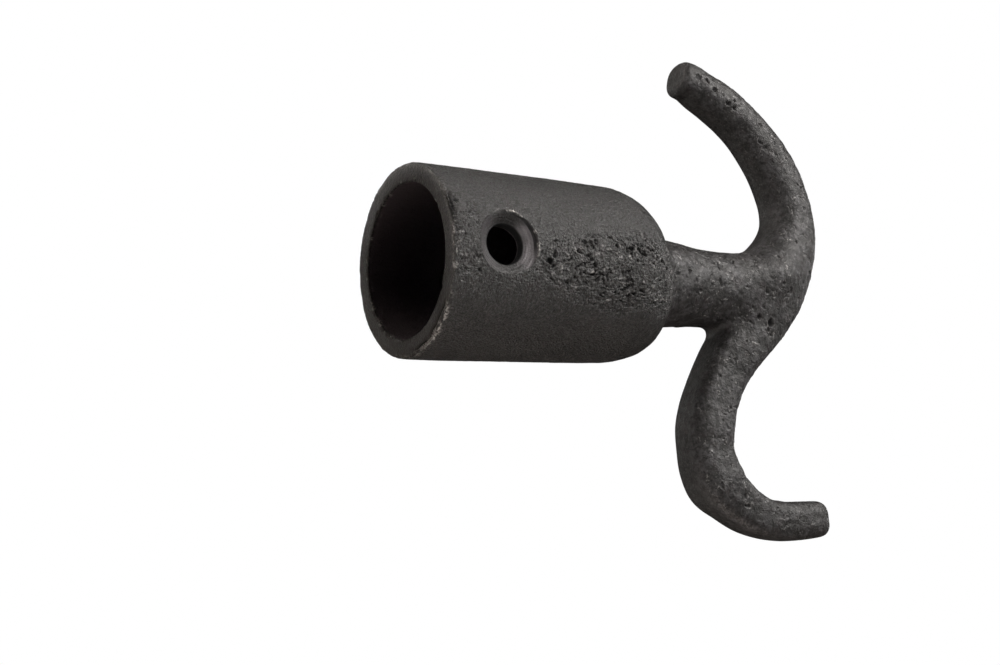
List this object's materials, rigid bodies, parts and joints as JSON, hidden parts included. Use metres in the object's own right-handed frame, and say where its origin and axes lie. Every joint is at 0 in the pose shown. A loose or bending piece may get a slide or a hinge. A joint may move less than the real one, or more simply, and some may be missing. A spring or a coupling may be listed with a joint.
{
  "type": "window pole hook",
  "caption": "Cast iron hook end for a window pole: a round screw-on socket, a short neck and an S-shaped double hook that pulls or pushes a high window.",
  "frame": {"origin": "centre of the flat floor inside the socket, where the end of the pole stops", "axes": "+Z along the socket's axis from the mouth towards the hook; the arms lie in the XZ plane, the pull arm towards -X and the push arm towards +X; the open screw hole faces -Y and the screw's head faces +Y"},
  "size_m": [0.0776, 0.028, 0.0772],
  "materials": {
    "black_iron": "satin black over sand-cast grain, with small pits, worn bright on the edge of the mouth",
    "black_screw": "blackened, with a worn bright slot"
  },
  "bodies": {
    "hook": {"hook_casting": "black_iron"},
    "screw": {"fixing_screw": "black_screw"}
  },
  "joints": [
    {"name": "screw_travel", "type": "slide", "parent": "hook", "child": "screw", "axis": [0, 1, 0], "range_m": [0, 0.014]}
  ]
}
